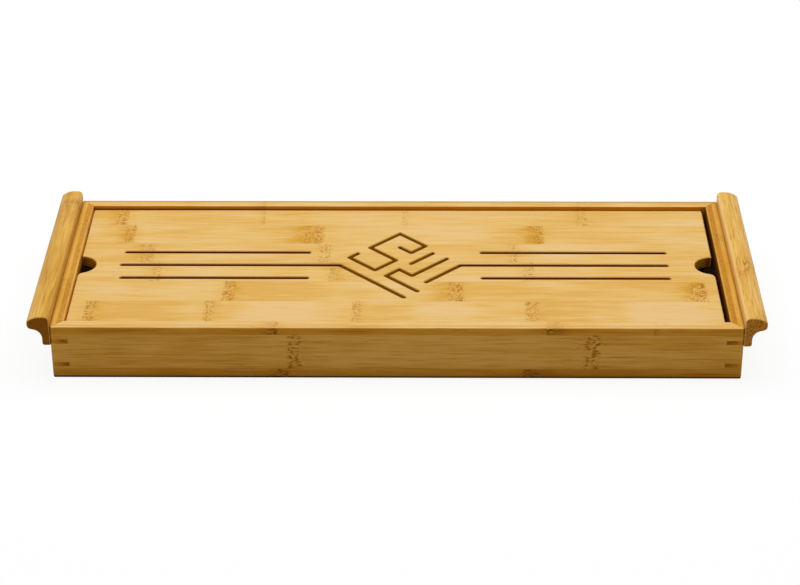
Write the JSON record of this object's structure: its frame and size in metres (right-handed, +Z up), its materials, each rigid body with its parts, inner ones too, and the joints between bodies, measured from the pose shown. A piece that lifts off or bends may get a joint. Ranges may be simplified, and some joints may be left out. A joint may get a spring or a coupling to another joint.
{
  "type": "gongfu tea table",
  "caption": "Low bamboo tea table: mitred, keyed case with rolled end handles, a loose lid cut with drain slots in a key fret, and a lift-out drip tray.",
  "frame": {"origin": "centre of the footprint, on the surface the case stands on", "axes": "+X along the case towards the right handle, +Y to the back, +Z up"},
  "size_m": [0.3916, 0.1456, 0.0381],
  "materials": {
    "case_bamboo": "carbonised two-ply bamboo board, satin oiled",
    "key_bamboo": "darker bamboo slice, end grain, satin",
    "handle_bamboo": "carbonised bamboo moulding, satin oiled",
    "dowel_wood": "plain dowel, unfinished",
    "lid_bamboo": "edge-glued bamboo board, satin lacquer",
    "batten_bamboo": "sawn bamboo strip, satin",
    "panel_bamboo": "thin bamboo panel, matt",
    "tray_plastic": "moulded dark brown plastic, soft gloss",
    "screw_brass": "plated countersunk wood screws"
  },
  "bodies": {
    "case": {"front_wall": "case_bamboo", "back_wall": "case_bamboo", "left_end_wall": "case_bamboo", "right_end_wall": "case_bamboo", "front_left_key_lower": "key_bamboo", "front_left_key_upper": "key_bamboo", "front_right_key_lower": "key_bamboo", "front_right_key_upper": "key_bamboo", "back_left_key_lower": "key_bamboo", "back_left_key_upper": "key_bamboo", "back_right_key_lower": "key_bamboo", "back_right_key_upper": "key_bamboo", "bottom_panel": "panel_bamboo", "left_handle": "handle_bamboo", "right_handle": "handle_bamboo", "left_handle_dowels": "dowel_wood", "right_handle_dowels": "dowel_wood"},
    "tray": {"drip_tray": "tray_plastic"},
    "lid": {"lid_board": "lid_bamboo", "left_lid_batten": "batten_bamboo", "right_lid_batten": "batten_bamboo", "left_batten_screws": "screw_brass", "right_batten_screws": "screw_brass"}
  },
  "joints": [
    {"name": "tray_lift", "type": "slide", "parent": "case", "child": "tray", "axis": [0, 0, 1], "range_m": [0, 0.03]},
    {"name": "lid_lift", "type": "slide", "parent": "tray", "child": "lid", "axis": [0, 0, 1], "range_m": [0, 0.03]}
  ]
}
